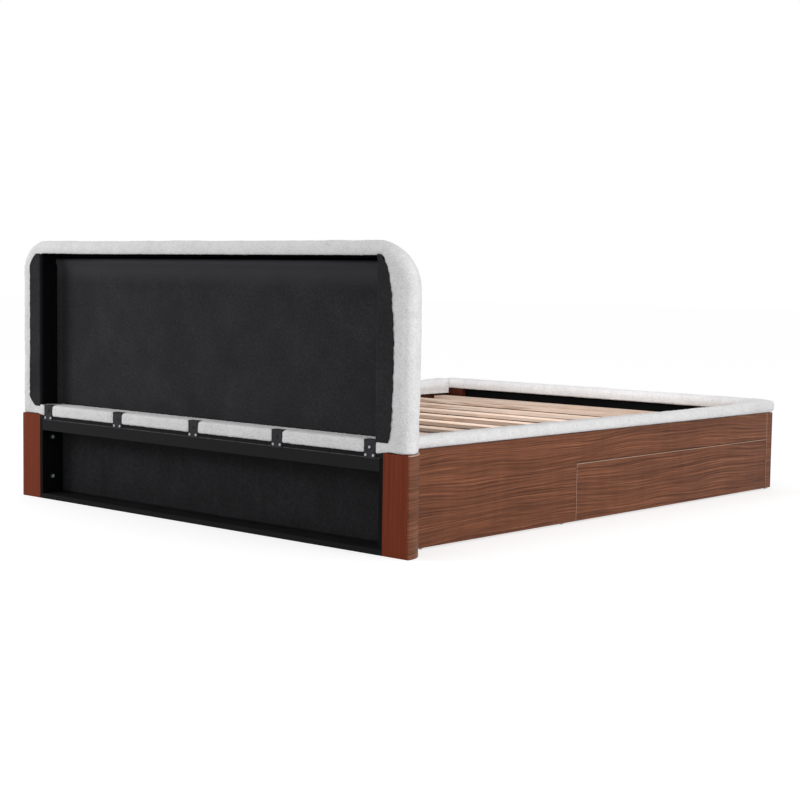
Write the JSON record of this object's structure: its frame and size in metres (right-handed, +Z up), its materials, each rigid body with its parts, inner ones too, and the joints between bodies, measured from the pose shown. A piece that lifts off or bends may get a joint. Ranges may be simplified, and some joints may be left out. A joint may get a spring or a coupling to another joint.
{
  "type": "upholstered platform bed",
  "caption": "Platform bed with a padded headboard open at the back, curved veneered posts, a padded rim, pine slats and a long drawer in each side.",
  "frame": {"origin": "on the floor under the middle of the bed's bounding box", "axes": "+Y towards the headboard, +Z up, +X to the right of someone lying on their back with the head at +Y seen from above"},
  "size_m": [1.84, 2.2292, 0.9],
  "materials": {
    "boucle": "looped off-white weave over foam",
    "black_nonwoven": "matt black nonwoven cloth",
    "frame_ply": "bare plywood and softwood",
    "black_steel": "satin black powder coat",
    "white_screw": "white zinc",
    "black_board": "matt black paint on board",
    "red_brown_board": "satin red-brown stain, upright grain",
    "walnut_veneer": "satin lacquer, grain along the bed",
    "zinc_steel": "bright zinc",
    "pine": "planed bare pine",
    "drawer_board": "light board",
    "white_plastic": "moulded"
  },
  "bodies": {
    "bed_frame": {"headboard_cover": "boucle", "side_pad_left": "boucle", "side_pad_right": "boucle", "foot_pad": "boucle", "headboard_back_liner": "black_nonwoven", "headboard_side_strips": "black_nonwoven", "base_back_liner": "black_nonwoven", "headboard_front_panel": "frame_ply", "post_inner_frames": "frame_ply", "drawer_dividers": "frame_ply", "slide_packers": "frame_ply", "joining_brackets": "black_steel", "rail_brackets": "black_steel", "bracket_screws": "white_screw", "headboard_stiles": "black_board", "headboard_cross_rails": "black_board", "base_top_board": "black_board", "base_top_rail": "black_board", "base_bottom_board": "black_board", "base_front_board": "black_board", "base_end_boards": "black_board", "foot_inner_board": "black_board", "side_battens": "black_board", "post_back_board_left": "red_brown_board", "post_back_board_right": "red_brown_board", "foot_corner_blocks": "red_brown_board", "post_shell_left": "walnut_veneer", "post_shell_right": "walnut_veneer", "side_panel_left": "walnut_veneer", "side_panel_right": "walnut_veneer", "foot_panel": "walnut_veneer", "foot_stiles": "walnut_veneer", "post_bolts": "zinc_steel", "rail_bolts": "zinc_steel", "slat_screws": "zinc_steel", "slide_outer_members": "zinc_steel", "slat_01": "pine", "slat_02": "pine", "slat_03": "pine", "slat_04": "pine", "slat_05": "pine", "slat_06": "pine", "slat_07": "pine", "slat_08": "pine", "slat_09": "pine", "slat_10": "pine", "slat_ledges": "pine", "centre_beam": "pine", "centre_legs": "pine", "floor_glides": "white_plastic"},
    "drawer_left": {"drawer_front_left": "walnut_veneer", "drawer_walls_left": "drawer_board", "drawer_floor_left": "drawer_board", "slide_inner_left": "zinc_steel"},
    "drawer_right": {"drawer_front_right": "walnut_veneer", "drawer_walls_right": "drawer_board", "drawer_floor_right": "drawer_board", "slide_inner_right": "zinc_steel"},
    "runner_left": {"slide_middle_left": "zinc_steel"},
    "runner_right": {"slide_middle_right": "zinc_steel"}
  },
  "joints": [
    {"name": "left_drawer_slide", "type": "slide", "parent": "bed_frame", "child": "drawer_left", "axis": [-1, 0, 0], "range_m": [0, 0.45]},
    {"name": "right_drawer_slide", "type": "slide", "parent": "bed_frame", "child": "drawer_right", "axis": [1, 0, 0], "range_m": [0, 0.45]},
    {"name": "left_runner_slide", "type": "slide", "parent": "bed_frame", "child": "runner_left", "axis": [-1, 0, 0], "range_m": [0, 0.225]},
    {"name": "right_runner_slide", "type": "slide", "parent": "bed_frame", "child": "runner_right", "axis": [1, 0, 0], "range_m": [0, 0.225]}
  ],
  "couplings": [
    {"joint": "left_runner_slide", "follows": "left_drawer_slide", "ratio": 0.5},
    {"joint": "right_runner_slide", "follows": "right_drawer_slide", "ratio": 0.5}
  ]
}
